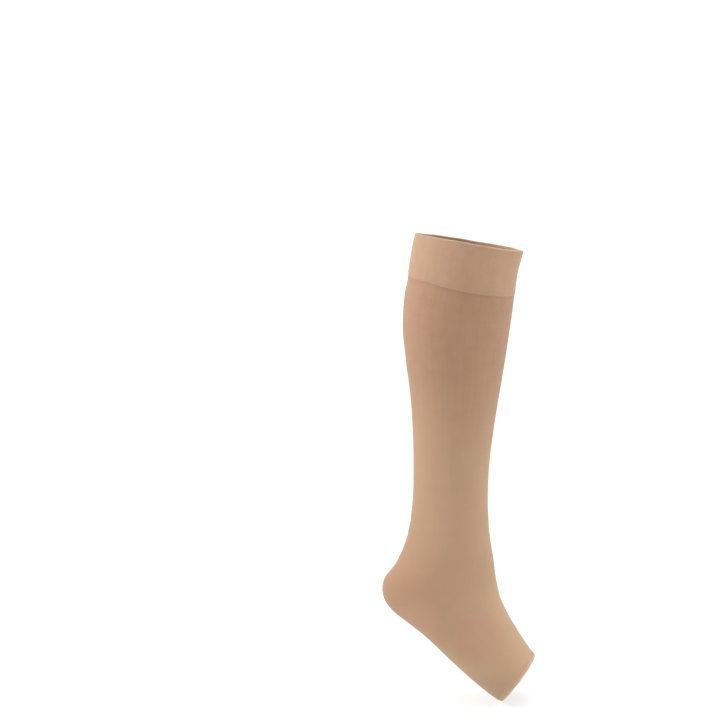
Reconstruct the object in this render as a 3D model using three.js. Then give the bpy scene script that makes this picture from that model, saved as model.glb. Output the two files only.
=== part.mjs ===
// Open-toe, knee-high compression stocking, in the hollow form that it has when it is worn with
// the heel raised. It is a right-leg form: toes towards +X, outer side of the leg towards -Y.
// The origin is the centre of the top opening. Three knitted pieces make it: the tube of the leg
// and foot, the doubled band linked to its top, and the narrow hem of the open toe.
import * as THREE from "three";

// Driving dimensions, in millimetres.
const KNIT_WALL = 1.2; // one layer of knit with a laid-in elastic yarn
const BAND_RISE = 0.8; // the doubled band stands this far out of the leg's surface
const HEM_RISE = 0.5; // and the turned hem of the toe this far
const SEAM_GAP = 0.35; // along the tube, between two pieces where they are linked
const EDGE_ROLL = 0.6; // how far the rounded lips of band and hem fall back
const SIDES = 40; // facets round the tube
const ROUNDS_PER_SECTION = 3; // rings from one row of the table to the next

// One row for each section of the tube, from the top down. The front and back points are the
// side outline (shin and instep, calf and sole), and the section's plane runs through both.
// outer and inner are the reach to the outer and the inner side of the leg, crest is where
// along the section it is widest (0 at the back, 1 at the front), frontBow and backBow are how
// square each half is (2 is an ellipse, more is squarer), and slant is how far the outer side
// lies up the tube from that plane and the inner side down it, as the toes' roots do. It is
// negative at the band's seam, which sags on the outer side.
const COLUMNS = [
  "frontX", "frontZ", "backX", "backZ", "outer", "inner", "crest", "frontBow", "backBow", "slant",
];
const SECTIONS = {
  topEdge: [50.7, -8.4, -50.3, 8.4, 49.0, 50.0, 0.48, 2.0, 2.05, 0],
  bandMiddle: [45.0, -30.4, -54.6, -12.9, 49.0, 50.5, 0.48, 2.0, 2.05, -1.2],
  bandSeam: [42.6, -52.5, -57.8, -34.8, 49.5, 51.0, 0.47, 1.98, 2.05, -2.3],
  calfTop: [41.1, -66.5, -60.9, -49.5, 50.5, 52.5, 0.46, 1.95, 2.1, -1.7],
  calf: [37.4, -92.5, -62.7, -80.0, 50.0, 53.0, 0.46, 1.92, 2.1, -0.6],
  calfFoot: [33.1, -122.0, -59.9, -111.5, 46.5, 49.5, 0.47, 1.92, 2.05, 0],
  lowerCalf: [28.4, -150.5, -55.8, -142.0, 41.5, 43.5, 0.48, 1.95, 2.0, 0],
  shin: [23.8, -180.5, -53.4, -173.5, 36.5, 38.0, 0.5, 1.95, 1.95, 0],
  aboveAnkle: [20.4, -209.0, -52.3, -205.5, 33.0, 33.5, 0.52, 2.0, 1.9, 0],
  ankle: [19.0, -237.0, -52.4, -236.0, 31.0, 31.0, 0.53, 2.05, 1.88, 0],
  ankleFoot: [19.4, -262.0, -54.6, -262.0, 31.5, 31.0, 0.54, 2.05, 1.88, 0],
  achilles: [21.5, -283.5, -59.6, -286.2, 33.0, 32.6, 0.54, 2.0, 1.92, 0],
  heelTop: [24.0, -299.0, -69.0, -308.2, 33.8, 33.4, 0.5, 1.98, 2.0, 0],
  heelBack: [25.5, -310.5, -80.7, -324.8, 34.2, 33.6, 0.46, 1.95, 2.1, 0],
  heel: [26.8, -320.0, -80.9, -339.9, 34.4, 33.4, 0.43, 1.95, 2.2, 0],
  heelUnder: [28.4, -329.0, -73.4, -351.8, 34.6, 33.0, 0.41, 1.95, 2.25, 0],
  heelSole: [31.1, -340.0, -61.0, -362.0, 34.9, 32.6, 0.4, 1.95, 2.3, 0],
  arch: [36.0, -351.0, -44.7, -374.7, 36.2, 32.6, 0.4, 1.95, 2.3, 0.5],
  midfoot: [41.4, -361.5, -28.3, -389.7, 39.5, 33.5, 0.41, 2.0, 2.3, 1.5],
  foreFoot: [48.0, -372.5, -11.0, -406.4, 43.2, 35.8, 0.42, 2.05, 2.3, 2.8],
  ball: [54.9, -383.5, 6.4, -421.9, 46.2, 38.2, 0.44, 2.1, 2.3, 4.2],
  hemSeam: [61.6, -393.6, 27.6, -437.8, 46.6, 39.2, 0.46, 2.15, 2.25, 5.2],
  toeEdge: [65.0, -398.4, 33.4, -440.2, 46.2, 39.0, 0.47, 2.15, 2.25, 5.5],
};

// How far the outer surface of a band or hem stands out at each share of its width.
const BAND_PROFILE = [
  { share: 0, rise: BAND_RISE - EDGE_ROLL },
  { share: 0.03, rise: BAND_RISE },
  { share: 0.35, rise: BAND_RISE },
  { share: 0.68, rise: BAND_RISE },
  { share: 0.97, rise: BAND_RISE },
  { share: 1, rise: BAND_RISE - EDGE_ROLL / 2 },
];
const HEM_PROFILE = [
  { share: 0, rise: HEM_RISE / 2 },
  { share: 0.3, rise: HEM_RISE },
  { share: 0.75, rise: HEM_RISE },
  { share: 1, rise: HEM_RISE - EDGE_ROLL },
];

const rows = Object.values(SECTIONS).map((values) =>
  Object.fromEntries(COLUMNS.map((column, i) => [column, values[i]])),
);

// Distance along the tube at each row: the mean of the way down its front and down its back.
const reach = [0];
for (let i = 1; i < rows.length; i += 1) {
  const [above, below] = [rows[i - 1], rows[i]];
  const front = Math.hypot(below.frontX - above.frontX, below.frontZ - above.frontZ);
  const back = Math.hypot(below.backX - above.backX, below.backZ - above.backZ);
  reach.push(reach[i - 1] + (front + back) / 2);
}
const reachOf = (name) => reach[Object.keys(SECTIONS).indexOf(name)];

const blend = new THREE.CubicInterpolant(reach, Object.values(SECTIONS).flat(), COLUMNS.length);
const sectionAt = (distance) => {
  const values = blend.evaluate(distance);
  return Object.fromEntries(COLUMNS.map((column, i) => [column, values[i]]));
};

// The section's outline point at an angle: 0 at the front, a quarter turn at the outer side.
const FINE = 120; // chords on each side of the leg, to measure the way round a section
function outlinePoint(section, angle) {
  const back = new THREE.Vector3(section.backX, 0, section.backZ);
  const along = new THREE.Vector3(section.frontX, 0, section.frontZ).sub(back);
  const up = new THREE.Vector3(-along.z, 0, along.x).normalize();
  const [cos, sin] = [Math.cos(angle), Math.sin(angle)];
  const bow = 2 / (cos > 0 ? section.frontBow : section.backBow);
  const half = cos > 0 ? 1 - section.crest : section.crest;
  const share = section.crest + Math.sign(cos) * half * Math.abs(cos) ** bow;
  const outwards = Math.sign(sin) * Math.abs(sin) ** bow;
  const point = back.addScaledVector(along, share).addScaledVector(up, section.slant * outwards);
  return point.setY(-outwards * (sin > 0 ? section.outer : section.inner));
}

// The section as SIDES points, evenly spaced on each side of the leg between front and back.
function ringAt(distance) {
  const section = sectionAt(distance);
  const ring = [];
  for (const start of [0, Math.PI]) {
    const line = new THREE.CurvePath();
    for (let i = 0; i < FINE; i += 1) {
      const [from, to] = [i, i + 1].map((k) => outlinePoint(section, start + (Math.PI * k) / FINE));
      line.add(new THREE.LineCurve3(from, to));
    }
    for (let i = 0; i < SIDES / 2; i += 1) ring.push(line.getPointAt((2 * i) / SIDES));
  }
  return ring;
}

// The same ring, each point moved out along the surface's normal.
const NORMAL_STEP = 0.5;
function liftedRing(distance, lift) {
  const last = reach.at(-1);
  const above = ringAt(Math.max(distance - NORMAL_STEP, 0));
  const below = ringAt(Math.min(distance + NORMAL_STEP, last));
  return ringAt(distance).map((point, i, ring) => {
    const down = below[i].clone().sub(above[i]);
    const round = ring[(i + 1) % SIDES].clone().sub(ring[(i + SIDES - 1) % SIDES]);
    return point.addScaledVector(round.cross(down).normalize(), lift);
  });
}

// A closed wall: its outer rings going down, then its inner rings going up, and round again.
function wall(outerRings, innerRings) {
  const loops = [...outerRings, ...innerRings.reverse()];
  const positions = loops.flat().flatMap((point) => point.toArray());
  const faces = [];
  for (let ring = 0; ring < loops.length; ring += 1) {
    const next = (ring + 1) % loops.length;
    for (let side = 0; side < SIDES; side += 1) {
      const [a, b] = [ring * SIDES + side, ring * SIDES + ((side + 1) % SIDES)];
      const [c, d] = [next * SIDES + side, next * SIDES + ((side + 1) % SIDES)];
      faces.push(a, b, c, b, d, c);
    }
  }
  const geometry = new THREE.BufferGeometry();
  geometry.setAttribute("position", new THREE.Float32BufferAttribute(positions, 3));
  geometry.setIndex(faces);
  geometry.computeVertexNormals();
  return geometry;
}

function knit(name, color, geometry) {
  const material = new THREE.MeshStandardMaterial({ color, roughness: 0.85, metalness: 0 });
  const mesh = new THREE.Mesh(geometry, material);
  mesh.name = name;
  return mesh;
}

// The leg and foot: one tube knitted in the round, from the band's seam to the hem's seam.
function legAndFoot() {
  const names = Object.keys(SECTIONS);
  const first = names.indexOf("bandSeam");
  const last = names.indexOf("hemSeam");
  const stops = [];
  for (let row = first; row < last; row += 1) {
    for (let i = 0; i < ROUNDS_PER_SECTION; i += 1) {
      stops.push(reach[row] + ((reach[row + 1] - reach[row]) * i) / ROUNDS_PER_SECTION);
    }
  }
  stops.push(reach[last]);
  const outer = stops.map((stop) => liftedRing(stop, 0));
  const inner = stops.map((stop) => liftedRing(stop, -KNIT_WALL));
  return knit("leg_and_foot", 0xc19a73, wall(outer, inner));
}

// A strip that goes round an end of the tube, with its own profile.
function strip(name, color, start, end, profile) {
  const stops = profile.map(({ share }) => start + (end - start) * share);
  const outer = profile.map(({ rise }, i) => liftedRing(stops[i], rise));
  const inner = stops.map((stop) => liftedRing(stop, -KNIT_WALL));
  return knit(name, color, wall(outer, inner));
}

const topBand = () =>
  strip("top_band", 0xccaa84, 0, reachOf("bandSeam") - SEAM_GAP, BAND_PROFILE);
const toeHem = () =>
  strip("toe_hem", 0xccaa84, reachOf("hemSeam") + SEAM_GAP, reach.at(-1), HEM_PROFILE);

const stocking = new THREE.Group();
stocking.add(legAndFoot(), topBand(), toeHem());

export default stocking;
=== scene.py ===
from math import cos, exp, hypot, pi, radians, sin
from random import Random

import bmesh
import bpy
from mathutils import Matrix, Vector


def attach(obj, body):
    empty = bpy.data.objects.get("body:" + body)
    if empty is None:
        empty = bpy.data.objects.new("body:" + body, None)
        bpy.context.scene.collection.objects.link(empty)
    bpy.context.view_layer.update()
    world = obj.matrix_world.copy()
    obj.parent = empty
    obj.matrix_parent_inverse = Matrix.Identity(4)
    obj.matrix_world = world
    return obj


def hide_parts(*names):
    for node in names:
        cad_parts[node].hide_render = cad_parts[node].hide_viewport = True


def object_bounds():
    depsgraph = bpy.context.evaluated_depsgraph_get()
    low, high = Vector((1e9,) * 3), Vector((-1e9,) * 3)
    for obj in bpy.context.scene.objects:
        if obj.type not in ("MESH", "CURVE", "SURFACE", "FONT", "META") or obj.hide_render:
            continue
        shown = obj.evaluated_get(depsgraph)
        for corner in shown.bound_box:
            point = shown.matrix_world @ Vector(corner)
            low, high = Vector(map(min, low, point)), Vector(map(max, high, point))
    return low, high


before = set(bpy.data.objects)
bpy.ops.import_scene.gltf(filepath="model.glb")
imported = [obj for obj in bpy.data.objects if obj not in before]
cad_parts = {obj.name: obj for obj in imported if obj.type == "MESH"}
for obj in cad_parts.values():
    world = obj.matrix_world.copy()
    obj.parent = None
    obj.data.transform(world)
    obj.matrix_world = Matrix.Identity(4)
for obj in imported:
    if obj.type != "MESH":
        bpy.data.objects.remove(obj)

cad_box = [list(corner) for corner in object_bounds()]

# The camera stands on the stocking's outer side, 2.1 m away and a little higher than its top
# edge, and looks slightly down. The stocking is on the right of its frame, as in the
# photograph.
CAMERA_PLACE = (-0.10325, -2.1, 0.0836)
CAMERA_DOWN_TILT = 5.332
CAMERA_LENS = 111
SENSOR_WIDTH = 36

camera = bpy.data.objects.new("camera", bpy.data.cameras.new("camera"))
bpy.context.collection.objects.link(camera)
bpy.context.scene.camera = camera
camera.location = CAMERA_PLACE
camera.rotation_euler = (radians(90 - CAMERA_DOWN_TILT), 0, 0)
camera.data.lens = CAMERA_LENS
camera.data.sensor_width = SENSOR_WIDTH
bpy.context.scene.view_settings.view_transform = "Standard"

# The floor and the wall behind it: one sheet of matt paper that bends up in a wide curve, as in
# a photographer's studio. It is grey and glows, which makes it white and keeps its shadows
# faint. The toe's hem just touches it.
FLOOR_HALF_WIDTH = 4.0
FLOOR_FRONT = -4.0
WALL_BACK = 1.6
WALL_TOP = 3.5
BEND_RADIUS = 0.9
BEND_STEPS = 24
PAPER_GREY = (0.35, 0.35, 0.35, 1)
PAPER_GLOW = 0.68
PAPER_ROUGHNESS = 0.9
WHITE = (1, 1, 1, 1)

floor_height = cad_box[0][2]
sheet = bmesh.new()
front_corners = [
    sheet.verts.new((x, FLOOR_FRONT, floor_height)) for x in (-FLOOR_HALF_WIDTH, FLOOR_HALF_WIDTH)
]
edge = [sheet.edges.new(front_corners)]
for step in (Vector((0, WALL_BACK - FLOOR_FRONT, 0)), Vector((0, 0, WALL_TOP))):
    grown = bmesh.ops.extrude_edge_only(sheet, edges=edge)["geom"]
    bmesh.ops.translate(sheet, verts=[v for v in grown if isinstance(v, bmesh.types.BMVert)], vec=step)
    edge = [e for e in grown if isinstance(e, bmesh.types.BMEdge)]
    edge = [e for e in edge if abs(e.verts[0].co.x - e.verts[1].co.x) > FLOOR_HALF_WIDTH]
fold = [e for e in sheet.edges if len(e.link_faces) == 2]
bmesh.ops.bevel(
    sheet,
    geom=fold,
    offset=BEND_RADIUS,
    affect="EDGES",
    segments=BEND_STEPS,
    profile=0.5,
    material=-1,
)
bmesh.ops.recalc_face_normals(sheet, faces=sheet.faces)
backdrop = bpy.data.objects.new("backdrop", bpy.data.meshes.new("backdrop"))
sheet.to_mesh(backdrop.data)
sheet.free()
backdrop.data.shade_smooth()
bpy.context.collection.objects.link(backdrop)
paper = bpy.data.materials.new("backdrop_paper")
paper.use_nodes = True
paper_shader = paper.node_tree.nodes["Principled BSDF"]
paper_shader.inputs["Base Color"].default_value = PAPER_GREY
paper_shader.inputs["Roughness"].default_value = PAPER_ROUGHNESS
paper_shader.inputs["Emission Color"].default_value = WHITE
paper_shader.inputs["Emission Strength"].default_value = PAPER_GLOW
backdrop.data.materials.append(paper)

# Soft studio light: an evenly white room, a box on the left with a grid that holds its light to
# the calf and the band, a weak one on the right, and one overhead for the instep.
ROOM_LIGHT = 1.03
LEG_MIDDLE = (-0.02, 0, -0.2)
CALF_TOP = (-0.02, 0, -0.03)


def add_softbox(name, place, aim, size, power, spread=180):
    """A rectangular light. A grid on it narrows its spread, which is in degrees."""
    softbox = bpy.data.objects.new(name, bpy.data.lights.new(name, "AREA"))
    softbox.data.shape = "RECTANGLE"
    softbox.data.size, softbox.data.size_y = size
    softbox.data.energy = power
    softbox.data.spread = radians(spread)
    softbox.location = place
    softbox.rotation_euler = (Vector(aim) - Vector(place)).to_track_quat("-Z", "Y").to_euler()
    bpy.context.collection.objects.link(softbox)


add_softbox(
    "left_softbox", place=(-1.25, 0.05, 0.5), aim=CALF_TOP, size=(0.6, 0.6), power=0.93, spread=34
)
add_softbox("right_softbox", place=(1.3, 0.3, 0.0), aim=LEG_MIDDLE, size=(0.9, 1.2), power=6.5)
add_softbox("overhead_softbox", place=(0.5, -0.4, 1.8), aim=LEG_MIDDLE, size=(1.2, 1.2), power=8)
room = bpy.data.worlds.new("white_room")
room.use_nodes = True
room.node_tree.nodes["Background"].inputs["Color"].default_value = WHITE
room.node_tree.nodes["Background"].inputs["Strength"].default_value = ROOM_LIGHT
bpy.context.scene.world = room

# The leg and foot: one tube of fine beige compression knit, made in the round on a circular
# machine, with no seam along it. Its heel is knitted in. The sections follow the solid's own, and
# the sizes are in millimetres.
MM = 0.001
KNIT_WALL = 1.2
SIDES = 112  # points round the tube
CHORDS = 120  # on each side of the leg, to measure the way round a section
ROUND_PITCH = 2.4  # from one ring of the mesh to the next
EDGE_STOP = 0.15
NORMAL_STEP = 0.5  # along the tube, to find the way that its surface faces
MERGE_WITHIN = 0.01

# A section lies in a slanting plane through a point at the leg's front and one at its back.
# outer and inner are its reach to either side of the leg, and crest is where it is widest, from
# 0 at the back to 1 at the front. The bows are how square its front and back halves are: 2 is
# an ellipse. slant is how far its outer side lies up the tube, and its inner side down it.
COLUMNS = (
    "frontX", "frontZ", "backX", "backZ", "outer", "inner", "crest", "frontBow", "backBow", "slant",
)
SECTIONS = {
    "topEdge": (50.7, -8.4, -50.3, 8.4, 49.0, 50.0, 0.48, 2.0, 2.05, 0),
    "bandMiddle": (45.0, -30.4, -54.6, -12.9, 49.0, 50.5, 0.48, 2.0, 2.05, -1.2),
    "bandSeam": (42.6, -52.5, -57.8, -34.8, 49.5, 51.0, 0.47, 1.98, 2.05, -2.3),
    "calfTop": (41.1, -66.5, -60.9, -49.5, 50.5, 52.5, 0.46, 1.95, 2.1, -1.7),
    "calf": (37.4, -92.5, -62.7, -80.0, 50.0, 53.0, 0.46, 1.92, 2.1, -0.6),
    "calfFoot": (33.1, -122.0, -59.9, -111.5, 46.5, 49.5, 0.47, 1.92, 2.05, 0),
    "lowerCalf": (28.4, -150.5, -55.8, -142.0, 41.5, 43.5, 0.48, 1.95, 2.0, 0),
    "shin": (23.8, -180.5, -53.4, -173.5, 36.5, 38.0, 0.5, 1.95, 1.95, 0),
    "aboveAnkle": (20.4, -209.0, -52.3, -205.5, 33.0, 33.5, 0.52, 2.0, 1.9, 0),
    "ankle": (19.0, -237.0, -52.4, -236.0, 31.0, 31.0, 0.53, 2.05, 1.88, 0),
    "ankleFoot": (19.4, -262.0, -54.6, -262.0, 31.5, 31.0, 0.54, 2.05, 1.88, 0),
    "achilles": (21.5, -283.5, -59.6, -286.2, 33.0, 32.6, 0.54, 2.0, 1.92, 0),
    "heelTop": (24.0, -299.0, -69.0, -308.2, 33.8, 33.4, 0.5, 1.98, 2.0, 0),
    "heelBack": (25.5, -310.5, -80.7, -324.8, 34.2, 33.6, 0.46, 1.95, 2.1, 0),
    "heel": (26.8, -320.0, -80.9, -339.9, 34.4, 33.4, 0.43, 1.95, 2.2, 0),
    "heelUnder": (28.4, -329.0, -73.4, -351.8, 34.6, 33.0, 0.41, 1.95, 2.25, 0),
    "heelSole": (31.1, -340.0, -61.0, -362.0, 34.9, 32.6, 0.4, 1.95, 2.3, 0),
    "arch": (36.0, -351.0, -44.7, -374.7, 36.2, 32.6, 0.4, 1.95, 2.3, 0.5),
    "midfoot": (41.4, -361.5, -28.3, -389.7, 39.5, 33.5, 0.41, 2.0, 2.3, 1.5),
    "foreFoot": (48.0, -372.5, -11.0, -406.4, 43.2, 35.8, 0.42, 2.05, 2.3, 2.8),
    "ball": (54.9, -383.5, 6.4, -421.9, 46.2, 38.2, 0.44, 2.1, 2.3, 4.2),
    "hemSeam": (61.6, -393.6, 27.6, -437.8, 46.6, 39.2, 0.46, 2.15, 2.25, 5.2),
    "toeEdge": (65.0, -398.4, 33.4, -440.2, 46.2, 39.0, 0.47, 2.15, 2.25, 5.5),
}
rows = [dict(zip(COLUMNS, values)) for values in SECTIONS.values()]

# Distance down the tube at each row: the mean of the way down its front and down its back.
reach = [0.0]
for above, below in zip(rows, rows[1:]):
    front = hypot(below["frontX"] - above["frontX"], below["frontZ"] - above["frontZ"])
    back = hypot(below["backX"] - above["backX"], below["backZ"] - above["backZ"])
    reach.append(reach[-1] + (front + back) / 2)
reach_of = dict(zip(SECTIONS, reach))


def slope(column, row):
    """How fast a column changes along the tube at a row: the mean of the stretches beside it."""
    before, after = max(row - 1, 0), min(row + 1, len(rows) - 1)
    stretches = [(i, i + 1) for i in range(before, after)]
    rates = [(rows[j][column] - rows[i][column]) / (reach[j] - reach[i]) for i, j in stretches]
    return sum(rates) / len(rates)


def section_at(distance):
    """The section at a distance down the tube, on a smooth curve through the table's rows."""
    distance = min(max(distance, 0.0), reach[-1])
    row = next(i for i in range(len(rows) - 1) if distance <= reach[i + 1])
    span = reach[row + 1] - reach[row]
    share = (distance - reach[row]) / span
    section = {}
    for column in COLUMNS:
        start, end = rows[row][column], rows[row + 1][column]
        leave, arrive = slope(column, row) * span, slope(column, row + 1) * span
        section[column] = (
            start * (2 * share**3 - 3 * share**2 + 1)
            + leave * (share**3 - 2 * share**2 + share)
            + end * (3 * share**2 - 2 * share**3)
            + arrive * (share**3 - share**2)
        )
    return section


def outline_point(section, angle):
    """A section's outline point: 0 is the front, and a quarter turn the outer side."""
    back = Vector((section["backX"], 0, section["backZ"]))
    along = Vector((section["frontX"], 0, section["frontZ"])) - back
    up = Vector((-along.z, 0, along.x)).normalized()
    turn_cos, turn_sin = cos(angle), sin(angle)
    bow = 2 / (section["frontBow"] if turn_cos > 0 else section["backBow"])
    half = 1 - section["crest"] if turn_cos > 0 else -section["crest"]
    share = section["crest"] + half * abs(turn_cos) ** bow
    outwards = (1 if turn_sin > 0 else -1) * abs(turn_sin) ** bow
    point = back + along * share + up * section["slant"] * outwards
    point.y = -outwards * section["outer" if turn_sin > 0 else "inner"]
    return point


def ring_at(distance, sides=SIDES):
    """A section's outline as points that are evenly spaced on each side of the leg."""
    section = section_at(distance)
    ring = []
    for start in (0, pi):
        line = [outline_point(section, start + pi * i / CHORDS) for i in range(CHORDS + 1)]
        lengths = [0.0]
        for a, b in zip(line, line[1:]):
            lengths.append(lengths[-1] + (b - a).length)
        chord = 0
        for i in range(sides // 2):
            goal = lengths[-1] * 2 * i / sides
            while lengths[chord + 1] < goal:
                chord += 1
            share = (goal - lengths[chord]) / (lengths[chord + 1] - lengths[chord])
            ring.append(line[chord].lerp(line[chord + 1], share))
    return ring


def lifted_ring(distance, lifts, slides=None):
    """The ring with each point moved out along the surface's normal, and down the tube."""
    sides = len(lifts)
    above = ring_at(max(distance - NORMAL_STEP, 0), sides)
    below = ring_at(min(distance + NORMAL_STEP, reach[-1]), sides)
    ring = ring_at(distance, sides)
    lifted = []
    for i, point in enumerate(ring):
        down = (below[i] - above[i]).normalized()
        outwards = (ring[(i + 1) % sides] - ring[i - 1]).cross(down).normalized()
        slide = slides[i] if slides else 0
        lifted.append(point + outwards * lifts[i] + down * slide)
    return lifted


def knit_tube(name, rings, downs, closed=False):
    """A knitted tube through rings, with a UV map: turns round it, and millimetres down it."""
    knit = bmesh.new()
    turn = knit.verts.layers.float.new("turn")
    down = knit.verts.layers.float.new("down")
    stitches = bmesh.ops.create_circle(knit, segments=len(rings[0]), radius=1)["verts"]
    for i, vertex in enumerate(stitches):
        vertex.co = rings[0][i] * MM
        vertex[turn] = i / len(stitches)
        vertex[down] = downs[0]
    course = list(knit.edges)
    for ring, distance in list(zip(rings, downs))[1:] + [(rings[0], downs[0])] * closed:
        grown = bmesh.ops.extrude_edge_only(knit, edges=course)["geom"]
        fresh = {part for part in grown if isinstance(part, bmesh.types.BMVert)}
        above = stitches
        stitches = [
            next(e.other_vert(v) for e in v.link_edges if e.other_vert(v) in fresh) for v in above
        ]
        course = [part for part in grown if isinstance(part, bmesh.types.BMEdge)]
        course = [e for e in course if e.verts[0] in fresh and e.verts[1] in fresh]
        for vertex, point in zip(stitches, ring):
            vertex.co = point * MM
            vertex[down] = distance
    bmesh.ops.remove_doubles(knit, verts=knit.verts, dist=MERGE_WITHIN * MM)
    bmesh.ops.recalc_face_normals(knit, faces=knit.faces)
    knit_map = knit.loops.layers.uv.new("knit")
    for face in knit.faces:
        face.smooth = True
        last_in_round = max(v[turn] for v in face.verts) > 0.5 + min(v[turn] for v in face.verts)
        for corner in face.loops:
            whole_turn = 1 if last_in_round and corner.vert[turn] < 0.5 else 0
            corner[knit_map].uv = (corner.vert[turn] + whole_turn, corner.vert[down])
    piece = bpy.data.objects.new(name, bpy.data.meshes.new(name))
    knit.to_mesh(piece.data)
    knit.free()
    bpy.context.collection.objects.link(piece)
    return piece


def stops_between(start, end, pitch):
    """Even stops along the tube, and one more close to each end, which keeps its edge crisp."""
    count = max(round(abs(end - start) / pitch), 1)
    stops = [start + (end - start) * i / count for i in range(count + 1)]
    close = EDGE_STOP if end > start else -EDGE_STOP
    return [start, start + close, *stops[1:-1], end - close, end]


# The knit's pull isn't quite even, so its surface waves by a tenth of a millimetre. Each wave has
# its length down the tube, its count round it, its start and its share of the height.
WAVE_HEIGHT = 0.028
WAVES = ((13, 3, 0, 1), (7.1, -2, 1.3, 1), (19, 1, 4, 1), (4.3, 5, 2, 0.7))

# The knit also gives a little at the bend of the ankle, above the heel, at the arch and behind the
# calf, in a few shallow troughs. Each has its distance down the tube, its turn round it, half its
# length, half its width, its depth, and how far its ends lean down the tube.
TROUGHS = (
    (278, 0.02, 19, 4.0, 0.50, 3.0),
    (291, 0.96, 15, 3.4, 0.38, -2.5),
    (303, 0.05, 13, 3.8, 0.42, 2.0),
    (270, 0.47, 17, 3.6, 0.50, -3.5),
    (283, 0.53, 14, 3.2, 0.42, 2.5),
    (297, 0.44, 12, 3.0, 0.36, -2.0),
    (386, 0.62, 20, 5.0, 0.35, 6.0),
    (121, 0.57, 16, 6.0, 0.30, 5.0),
)


def unevenness(distance, turn, girth):
    """How far the worn knit stands off the smooth form, in millimetres."""
    height = 0
    for length, count, start, share in WAVES:
        wave = sin(distance / length + count * 2 * pi * turn + start)
        height += WAVE_HEIGHT * share * wave
    for at_distance, at_turn, half_length, half_width, depth, lean in TROUGHS:
        across = ((turn - at_turn + 0.5) % 1 - 0.5) * girth
        along = distance - at_distance - lean * across / half_length
        height -= depth * exp(-((across / half_length) ** 2) - (along / half_width) ** 2)
    return height


def worn_ring(distance, lift=0.0, sides=SIDES, slides=None):
    """A ring of the worn knit, at a height over the leg's outer surface."""
    ring = ring_at(distance, sides)
    girth = sum((b - a).length for a, b in zip(ring, ring[1:] + ring[:1]))
    lifts = [lift + unevenness(distance, i / sides, girth) for i in range(sides)]
    return lifted_ring(distance, lifts, slides)


# The seam to the band isn't quite level: it rides up a little all round, and most of all in one
# hump, between the outer side and the back. The leg's first rounds follow it. The hump's place
# and half-width are in turns round the tube.
SEAM_RISE = 0.9
HUMP_TURN = 0.37
HUMP_HALF_WIDTH = 0.07
HUMP_HEIGHT = 2.1
SWAY_REACH = 25


def seam_sway(turn):
    """How far down the tube the band's seam lies from its section. Up the tube is negative."""
    off = (turn - HUMP_TURN + 0.5) % 1 - 0.5
    return -SEAM_RISE - HUMP_HEIGHT * exp(-((off / HUMP_HALF_WIDTH) ** 2))


# The solids leave a small gap at each seam. Here the leg's two ends are tucked just under the band
# and the hem.
SEAM_GAP = 0.35
SEAM_TUCK = 0.1
leg_top = reach_of["bandSeam"] - SEAM_GAP - SEAM_TUCK
leg_end = reach_of["hemSeam"] + SEAM_GAP + SEAM_TUCK
leg_stops = stops_between(leg_top, leg_end, ROUND_PITCH)
leg_rings = []
for stop in leg_stops:
    follow = max(0, 1 - (stop - leg_top) / SWAY_REACH) ** 2
    leg_rings.append(worn_ring(stop, slides=[follow * seam_sway(i / SIDES) for i in range(SIDES)]))
leg = knit_tube("leg_and_foot_knit", leg_rings, leg_stops)
wall = leg.modifiers.new("knit_wall", "SOLIDIFY")
wall.thickness = KNIT_WALL * MM
wall.offset = -1
wall.use_rim = True
wall.material_offset = 1
wall.material_offset_rim = 1


def math_node(material, operation, *values):
    """One Math node of a material. A value is a number or another node's output."""
    node = material.node_tree.nodes.new("ShaderNodeMath")
    node.operation = operation
    for socket, value in zip(node.inputs, values):
        if isinstance(value, (int, float)):
            socket.default_value = value
        else:
            material.node_tree.links.new(value, socket)
    return node.outputs[0]


def knit_place(material):
    """Turns round the tube and millimetres down it, from the piece's own UV map."""
    nodes, links = material.node_tree.nodes, material.node_tree.links
    knit_map = nodes.new("ShaderNodeUVMap")
    knit_map.uv_map = "knit"
    split = nodes.new("ShaderNodeSeparateXYZ")
    links.new(knit_map.outputs[0], split.inputs[0])
    return split.outputs["X"], split.outputs["Y"]


def cloud(material, scale, stretch=None, detail=2):
    """Soft noise in the object's own space, or stretched along the knit's UV map."""
    nodes, links = material.node_tree.nodes, material.node_tree.links
    noise = nodes.new("ShaderNodeTexNoise")
    noise.inputs["Scale"].default_value = scale
    noise.inputs["Detail"].default_value = detail
    if stretch is None:
        links.new(nodes.new("ShaderNodeTexCoord").outputs["Object"], noise.inputs["Vector"])
    else:
        knit_map = nodes.new("ShaderNodeUVMap")
        knit_map.uv_map = "knit"
        scaled = nodes.new("ShaderNodeMapping")
        scaled.inputs["Scale"].default_value = (*stretch, 1)
        links.new(knit_map.outputs[0], scaled.inputs["Vector"])
        links.new(scaled.outputs[0], noise.inputs["Vector"])
    return noise.outputs[0]


def ramp(material, value, low, high):
    """0 below low, 1 above high, and a smooth step between. low may be the larger one."""
    nodes, links = material.node_tree.nodes, material.node_tree.links
    step = nodes.new("ShaderNodeMapRange")
    step.interpolation_type = "SMOOTHSTEP"
    links.new(value, step.inputs["Value"])
    step.inputs["From Min"].default_value, step.inputs["From Max"].default_value = low, high
    return step.outputs[0]


def distance_from(material, place):
    """How far a point of the object is from a place on it, in metres."""
    nodes, links = material.node_tree.nodes, material.node_tree.links
    away = nodes.new("ShaderNodeVectorMath")
    away.operation = "DISTANCE"
    links.new(nodes.new("ShaderNodeTexCoord").outputs["Object"], away.inputs[0])
    away.inputs[1].default_value = place
    return away.outputs["Value"]


MIX_BELOW, MIX_ABOVE, MIX_RESULT = 6, 7, 2  # the colour sockets of a Mix node


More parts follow.
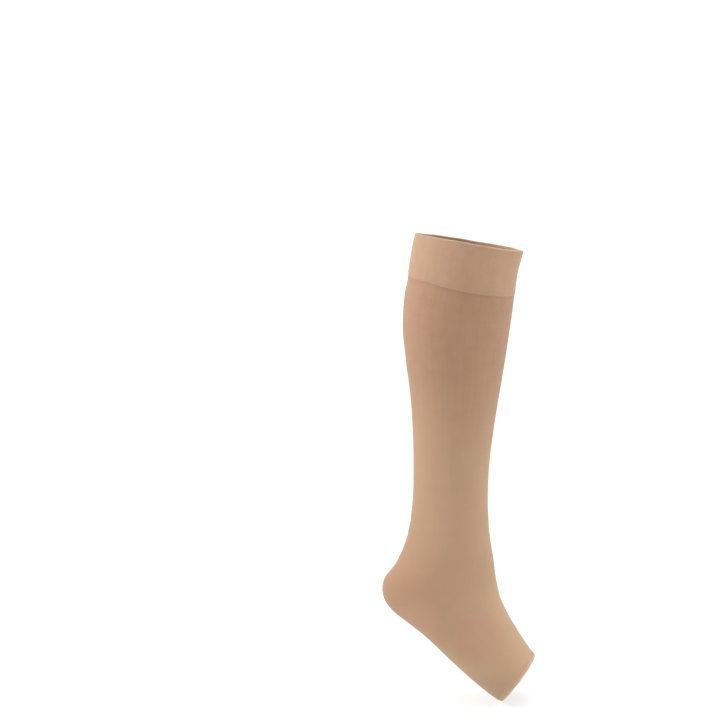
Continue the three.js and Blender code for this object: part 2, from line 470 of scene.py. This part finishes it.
def tint(material, amount, colour, blend="MIX"):
    """Lays a second colour over the material's base colour, as much as amount says."""
    nodes, links = material.node_tree.nodes, material.node_tree.links
    base = nodes["Principled BSDF"].inputs["Base Color"]
    mix = nodes.new("ShaderNodeMix")
    mix.data_type = "RGBA"
    mix.blend_type = blend
    links.new(amount, mix.inputs["Factor"])
    if base.is_linked:
        links.new(base.links[0].from_socket, mix.inputs[MIX_BELOW])
    else:
        mix.inputs[MIX_BELOW].default_value = base.default_value
    mix.inputs[MIX_ABOVE].default_value = (*colour, 1)
    links.new(mix.outputs[MIX_RESULT], base)


# What makes the knit's colour uneven: two soft clouds of dye, streaks along the wales and bars
# along the courses. Each has its noise's scale, the scale's stretch along the knit, its detail,
# where it starts and is full, its strength, and the colour that the knit's is multiplied by.
UNEVEN_DYE = (
    (85, None, 3, 0.35, 0.7, 0.3, (0.86, 0.80, 0.77)),
    (26, None, 1, 0.42, 0.62, 0.4, (1.0, 0.92, 0.94)),
    (1, (110, 0.012), 2, 0.4, 0.7, 0.25, (0.87, 0.85, 0.82)),
    (1, (2.0, 0.35), 2, 0.4, 0.7, 0.18, (0.88, 0.86, 0.84)),
)
KNIT_ROUGHNESS = 0.78
KNIT_GLOSS = 0.25
KNIT_SHEEN = 0.14
KNIT_SHEEN_ROUGHNESS = 0.45
SHEEN_COLOUR = (1.0, 0.94, 0.74, 1)
BUMP_STRENGTH = 0.6

# The stitches' relief: how steeply their legs climb, the share of their height that rises and
# falls from course to course and the share that doesn't, and how much the elastic yarn adds,
# which is laid in at every second course.
PLAIN_CLIMB = 1.3
PURL_CLIMB = 0.5
PLAIN_SHARES = (0.45, 0.55)
PURL_SHARES = (0.8, 0.2)
INLAY_SHARE = 0.1


def knit_material(name, yarn, valley_shade, wales, courses_per_mm, relief, purl=False):
    """A plain knit: a V of yarn for each stitch, or the purl side's short cross loops."""
    material = bpy.data.materials.new(name)
    material.use_nodes = True
    nodes, links = material.node_tree.nodes, material.node_tree.links
    shader = nodes["Principled BSDF"]
    around, down = knit_place(material)
    across = math_node(material, "FRACT", math_node(material, "MULTIPLY", around, wales))
    off_centre = math_node(material, "ABSOLUTE", math_node(material, "SUBTRACT", across, 0.5))
    courses = math_node(material, "MULTIPLY", down, courses_per_mm)
    climb = math_node(material, "MULTIPLY", off_centre, PURL_CLIMB if purl else PLAIN_CLIMB)
    along = math_node(material, "ADD", courses, climb)
    wave = math_node(material, "SINE", math_node(material, "MULTIPLY", along, 2 * pi))
    stitch = math_node(material, "MULTIPLY_ADD", wave, 0.5, 0.5)
    legs = math_node(material, "SINE", math_node(material, "MULTIPLY", off_centre, 2 * pi))
    row_share, leg_share = PURL_SHARES if purl else PLAIN_SHARES
    height = math_node(material, "MULTIPLY_ADD", stitch, row_share, leg_share)
    if not purl:
        height = math_node(material, "MULTIPLY", legs, height)
    inlay = math_node(material, "SINE", math_node(material, "MULTIPLY", courses, pi))
    height = math_node(material, "MULTIPLY_ADD", inlay, INLAY_SHARE, height)

    # Painted shade: the base colour is the darker valley colour, shade painted into the recesses
    # between the stitches, and the yarn's colour is laid over it where the stitches stand up.
    base = shader.inputs["Base Color"]
    base.default_value = (*valley_shade, 1)
    tint(material, height, yarn)
    for scale, stretch, detail, low, high, strength, colour in UNEVEN_DYE:
        marks = ramp(material, cloud(material, scale, stretch, detail), low, high)
        tint(material, math_node(material, "MULTIPLY", marks, strength), colour, "MULTIPLY")
    bump = nodes.new("ShaderNodeBump")
    bump.inputs["Strength"].default_value = BUMP_STRENGTH
    bump.inputs["Distance"].default_value = relief * MM
    links.new(height, bump.inputs["Height"])
    links.new(bump.outputs[0], shader.inputs["Normal"])
    shader.inputs["Roughness"].default_value = KNIT_ROUGHNESS
    shader.inputs["Specular IOR Level"].default_value = KNIT_GLOSS
    shader.inputs["Sheen Weight"].default_value = KNIT_SHEEN
    shader.inputs["Sheen Roughness"].default_value = KNIT_SHEEN_ROUGHNESS
    shader.inputs["Sheen Tint"].default_value = SHEEN_COLOUR
    return material


WALES = 360
COURSES_PER_MM = 1.3
# Each knit's valley colour is painted shade for the recesses between its stitches.
LEG_YARN = (0.403, 0.242, 0.151)
LEG_VALLEY_SHADE = (0.307, 0.178, 0.108)
INSIDE_YARN = (0.38, 0.23, 0.145)
INSIDE_VALLEY_SHADE = (0.28, 0.165, 0.10)
leg_yarn = knit_material("leg_knit", LEG_YARN, LEG_VALLEY_SHADE, WALES, COURSES_PER_MM, relief=0.12)

# The knit is stretched most over the calf, so it is lighter at the ankle and on the foot. The heel,
# pulled tight, is a little pinker, and so is the arch on the outer side. The instep is lighter
# still, and the outer side a little lighter below the heel's curve: both are painted light. The
# ball of the foot, just above the floor, is a little darker: painted shade. The patches' places
# are in metres, and the slack knit's are millimetres down the tube.
HEEL = (-0.058, 0, -0.335)
INSTEP_PAINTED_LIGHT = (0.04, 0, -0.385)
BELOW_HEEL_PAINTED_LIGHT = (-0.048, -0.025, -0.356)
ARCH = (0.007, -0.035, -0.372)
BALL_PAINTED_SHADE = (0.017, -0.035, -0.43)
SLACK_FROM = 90
SLACK_FULL = 235
SLACK_STRENGTH = 0.42
SLACK_YARN = (0.495, 0.342, 0.203)


def lay_patch(centre, fades_out, full, strength, colour, blend="MIX"):
    """A round patch of colour, with how far from its centre it fades out and is full."""
    near = ramp(leg_yarn, distance_from(leg_yarn, centre), fades_out, full)
    tint(leg_yarn, math_node(leg_yarn, "MULTIPLY", near, strength), colour, blend)


lay_patch(HEEL, 0.08, 0.03, 1, (1.0, 0.84, 0.87), "MULTIPLY")
slack = ramp(leg_yarn, knit_place(leg_yarn)[1], SLACK_FROM, SLACK_FULL)
tint(leg_yarn, math_node(leg_yarn, "MULTIPLY", slack, SLACK_STRENGTH), SLACK_YARN)
# Painted light: the top of the instep is lighter.
lay_patch(INSTEP_PAINTED_LIGHT, 0.075, 0.04, 0.25, (0.55, 0.36, 0.225))
# Painted light: the outer side is lighter below the heel's curve.
lay_patch(BELOW_HEEL_PAINTED_LIGHT, 0.028, 0.01, 0.25, (0.58, 0.34, 0.255))
lay_patch(ARCH, 0.034, 0.012, 1, (0.985, 0.91, 0.96), "MULTIPLY")
# Painted shade: the ball of the foot is darker, just above the floor.
lay_patch(BALL_PAINTED_SHADE, 0.034, 0.01, 1, (0.93, 0.945, 0.955), "MULTIPLY")

# Painted shade: a thin line of the leg just below the band's edge is darker, for the shadow under that
# edge.
BAND_EDGE_SHADE_REACH = 4
BAND_EDGE_SHADE_FULL = 1
BAND_EDGE_SHADE_COLOUR = (0.955, 0.94, 0.945)
band_edge_shade = ramp(
    leg_yarn, knit_place(leg_yarn)[1], leg_top + BAND_EDGE_SHADE_REACH, leg_top + BAND_EDGE_SHADE_FULL
)
tint(leg_yarn, band_edge_shade, BAND_EDGE_SHADE_COLOUR, "MULTIPLY")
leg_inside = knit_material(
    "leg_knit_inside", INSIDE_YARN, INSIDE_VALLEY_SHADE, WALES, COURSES_PER_MM, relief=0.1, purl=True
)
leg.data.materials.append(leg_yarn)
leg.data.materials.append(leg_inside)
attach(leg, "root")
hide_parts("leg_and_foot")

# The top band: a strip of thicker elastic knit, folded double, whose two edges are linked to the
# leg's top round. Its rounded fold is the stocking's upper edge, and it is lighter than the leg.
# Its ease is how far it stands out at each distance from its seam.
BAND_LAYER = 0.9
BAND_RISE = 0.8
BAND_EASE = ((0, 0.0), (0.15, 0.02), (0.9, 0.12), (1.9, 0.3), (3.0, 0.55), (4.2, 0.75), (5.6, 0.8))
BAND_STRAY = 0.5
BAND_COURSES_PER_MM = 1.1
BAND_YARN = (0.472, 0.3, 0.192)
BAND_VALLEY_SHADE = (0.36, 0.224, 0.136)
BEND_ANGLES = range(75, -76, -15)  # of the rings round the fold, in degrees from its tip
THINNEST_FOLD = 0.05

# A painted highlight along the fold's rim, in soft patches: how far from the fold it fades out and
# is full, and the patches' scale, contrast and strength.
RIM_HIGHLIGHT = (0.60, 0.42, 0.30)
RIM_FADE = (1.8, 0.4)
RIM_PATCH_SCALE = 60
RIM_PATCH_CONTRAST = (0.3, 0.6)
RIM_STRENGTH = 0.6

# How the fold strays from a straight edge: in waves with a count round the tube, a start, and a
# share of the reach.
FOLD_WAVES = ((2, 0.6, 0.5), (5, 2.1, 0.3), (11, 4, 0.2))


def strayed(turn, reach_out):
    """How far along the tube a fold strays from a straight edge, reach_out at most."""
    waves = [share * sin(count * 2 * pi * turn + start) for count, start, share in FOLD_WAVES]
    return sum(waves) * reach_out


def level_seam(turn):
    """A seam that stays on its section, as the hem's does."""
    return 0


def folded_strip(name, fold_at, seam_at, rise, layer, ease, pitch, stray, sway=level_seam):
    """A strip folded double over an end of the tube, with both of its edges at the seam."""
    way = 1 if seam_at > fold_at else -1
    inner_face = -KNIT_WALL
    middle = (rise + inner_face) / 2
    outer_radius = (rise - inner_face) / 2
    inner_radius = max(outer_radius - layer, THINNEST_FOLD)
    bend = [radians(angle) for angle in BEND_ANGLES]
    lip = fold_at + way * outer_radius
    outside = [(seam_at - way * step, lift) for step, lift in ease]
    outside += [(stop, rise) for stop in stops_between(outside[-1][0], lip, pitch)[1:]]
    over = [(lip - way * outer_radius * cos(a), middle + outer_radius * sin(a)) for a in bend]
    inside = [(stop, inner_face) for stop in stops_between(lip, seam_at, pitch)]
    back_inside = [(stop, middle - inner_radius) for stop in stops_between(seam_at, lip, pitch)]
    under = [
        (lip - way * inner_radius * cos(a), middle + inner_radius * sin(a)) for a in bend[::-1]
    ]
    back_outside = [(stop, middle + inner_radius) for stop in stops_between(lip, seam_at, pitch)]
    profile = outside + over + inside + back_inside + under + back_outside
    rings = []
    for stop, lift in profile:
        share = max(0, (stop - seam_at) / (fold_at - seam_at))
        slides = [
            strayed(i / SIDES, stray * share) + sway(i / SIDES) * (1 - share) for i in range(SIDES)
        ]
        rings.append(worn_ring(stop, lift, slides=slides))
    return knit_tube(name, rings, [stop for stop, _ in profile], closed=True)


band_end = reach_of["bandSeam"] - SEAM_GAP
band = folded_strip(
    "top_band_knit",
    fold_at=0.0,
    seam_at=band_end,
    rise=BAND_RISE,
    layer=BAND_LAYER,
    ease=BAND_EASE,
    pitch=ROUND_PITCH,
    stray=BAND_STRAY,
    sway=seam_sway,
)
band_yarn = knit_material(
    "band_knit", BAND_YARN, BAND_VALLEY_SHADE, WALES, BAND_COURSES_PER_MM, relief=0.2
)
# Painted highlight: the band's fold is lighter, in soft patches.
rim = ramp(band_yarn, knit_place(band_yarn)[1], *RIM_FADE)
patches = ramp(band_yarn, cloud(band_yarn, RIM_PATCH_SCALE), *RIM_PATCH_CONTRAST)
rim_highlight = math_node(band_yarn, "MULTIPLY", rim, patches)
tint(band_yarn, math_node(band_yarn, "MULTIPLY", rim_highlight, RIM_STRENGTH), RIM_HIGHLIGHT)
band.data.materials.append(band_yarn)
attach(band, "root")
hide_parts("top_band")

# The linking: one yarn in a round of small chained loops, a little lighter than the band, which
# joins the band's two edges to the leg. It lies along the band's lower edge.
LOOP_POINTS = 8
LOOP_UNEVENNESS = (0.88, 1.12)
LOOP_LEAN = 0.8
FIBRE_SCALE = 2600
FIBRE_CONTRAST = (0.3, 0.65)
FIBRE_RELIEF = 0.05
FIBRE_BUMP_STRENGTH = 0.5
THREAD_ROUGHNESS = 0.8
THREAD_SHEEN = 0.2
LINKING_YARN = (0.49, 0.325, 0.218)
LINKING_DARK = (0.41, 0.27, 0.176)


def chained_yarn(name, distance, lift, loops, size, thickness, seed, sway=level_seam):
    """One yarn that runs all round the tube in small loops: size is across, along and out."""
    uneven = Random(seed)
    count = loops * LOOP_POINTS
    slides = [sway(i / count) for i in range(count)]
    ring = worn_ring(distance, lift, count, slides)
    below = worn_ring(distance + NORMAL_STEP, lift, count, slides)
    curve = bpy.data.curves.new(name, "CURVE")
    curve.dimensions = "3D"
    curve.bevel_depth = thickness * MM / 2
    curve.bevel_resolution = 1
    yarn = curve.splines.new("POLY")
    yarn.points.add(count - 1)
    yarn.use_cyclic_u = True
    yarn.use_smooth = True
    for i, point in enumerate(ring):
        if i % LOOP_POINTS == 0:
            across, along, out = (part * uneven.uniform(*LOOP_UNEVENNESS) for part in size)
        down = (below[i] - point).normalized()
        round_way = (ring[(i + 1) % count] - ring[i - 1]).normalized()
        outwards = round_way.cross(down).normalized()
        turn = 2 * pi * i / LOOP_POINTS
        shift = down * across * cos(turn) - round_way * along * sin(turn)
        place = point + shift + outwards * out * sin(turn + LOOP_LEAN)
        yarn.points[i].co = (*(place * MM), 1)
    piece = bpy.data.objects.new(name, curve)
    bpy.context.collection.objects.link(piece)
    return piece


def thread_material(name, colour, dark):
    """Matt twisted yarn, with its fibres as fine uneven specks."""
    material = bpy.data.materials.new(name)
    material.use_nodes = True
    shader = material.node_tree.nodes["Principled BSDF"]
    shader.inputs["Base Color"].default_value = (*dark, 1)
    fibres = cloud(material, FIBRE_SCALE, detail=4)
    tint(material, ramp(material, fibres, *FIBRE_CONTRAST), colour)
    bump = material.node_tree.nodes.new("ShaderNodeBump")
    bump.inputs["Strength"].default_value = FIBRE_BUMP_STRENGTH
    bump.inputs["Distance"].default_value = FIBRE_RELIEF * MM
    material.node_tree.links.new(fibres, bump.inputs["Height"])
    material.node_tree.links.new(bump.outputs[0], shader.inputs["Normal"])
    shader.inputs["Roughness"].default_value = THREAD_ROUGHNESS
    shader.inputs["Sheen Weight"].default_value = THREAD_SHEEN
    shader.inputs["Sheen Tint"].default_value = SHEEN_COLOUR
    return material


chain = chained_yarn(
    "band_linking_chain",
    distance=band_end - 0.9,
    lift=0.14,
    loops=196,
    size=(0.4, 0.62, 0.08),
    thickness=0.3,
    seed=5,
    sway=seam_sway,
)
chain.data.materials.append(thread_material("linking_yarn", LINKING_YARN, LINKING_DARK))
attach(chain, "root")

# The toe's hem: the tube's last few rows, turned in and held down, which makes a narrow welt round
# the open toe. Its yarn is lighter than the leg's, and towards the fold a painted highlight makes
# it lighter still. Its ease is given as the band's is.
HEM_RISE = 0.5
HEM_LAYER = 0.75
HEM_EASE = ((0, 0.0), (0.15, 0.02), (0.5, 0.1), (1.2, 0.28), (2.0, 0.43), (2.6, 0.5))
HEM_STRAY = 0.3
HEM_PITCH = 0.9
HEM_YARN = (0.53, 0.352, 0.235)
HEM_VALLEY_SHADE = (0.41, 0.26, 0.165)
WELT_HIGHLIGHT = (0.64, 0.44, 0.33)
WELT_REACH = 3.5
WELT_FULL = 1.2
WELT_STRENGTH = 0.6
hem_start = reach_of["hemSeam"] + SEAM_GAP
hem = folded_strip(
    "toe_hem_knit",
    fold_at=reach[-1],
    seam_at=hem_start,
    rise=HEM_RISE,
    layer=HEM_LAYER,
    ease=HEM_EASE,
    pitch=HEM_PITCH,
    stray=HEM_STRAY,
)
hem_yarn = knit_material("hem_knit", HEM_YARN, HEM_VALLEY_SHADE, WALES, COURSES_PER_MM, relief=0.2)
# Painted highlight: the welt grows lighter towards its fold.
welt_highlight = ramp(hem_yarn, knit_place(hem_yarn)[1], reach[-1] - WELT_REACH, reach[-1] - WELT_FULL)
tint(hem_yarn, math_node(hem_yarn, "MULTIPLY", welt_highlight, WELT_STRENGTH), WELT_HIGHLIGHT)
hem.data.materials.append(hem_yarn)
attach(hem, "root")
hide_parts("toe_hem")

# The stitches that catch the hem: one light yarn in a round of small loops, sewn through the leg
# and the turned edge. It shows along the hem's upper edge.
CATCH_YARN = (0.62, 0.43, 0.31)
CATCH_DARK = (0.52, 0.345, 0.24)
catch = chained_yarn(
    "hem_catch_chain",
    distance=reach_of["hemSeam"] + 0.4,
    lift=0.08,
    loops=138,
    size=(0.5, 0.55, 0.06),
    thickness=0.28,
    seed=9,
)
catch.data.materials.append(thread_material("hem_yarn", CATCH_YARN, CATCH_DARK))
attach(catch, "root")
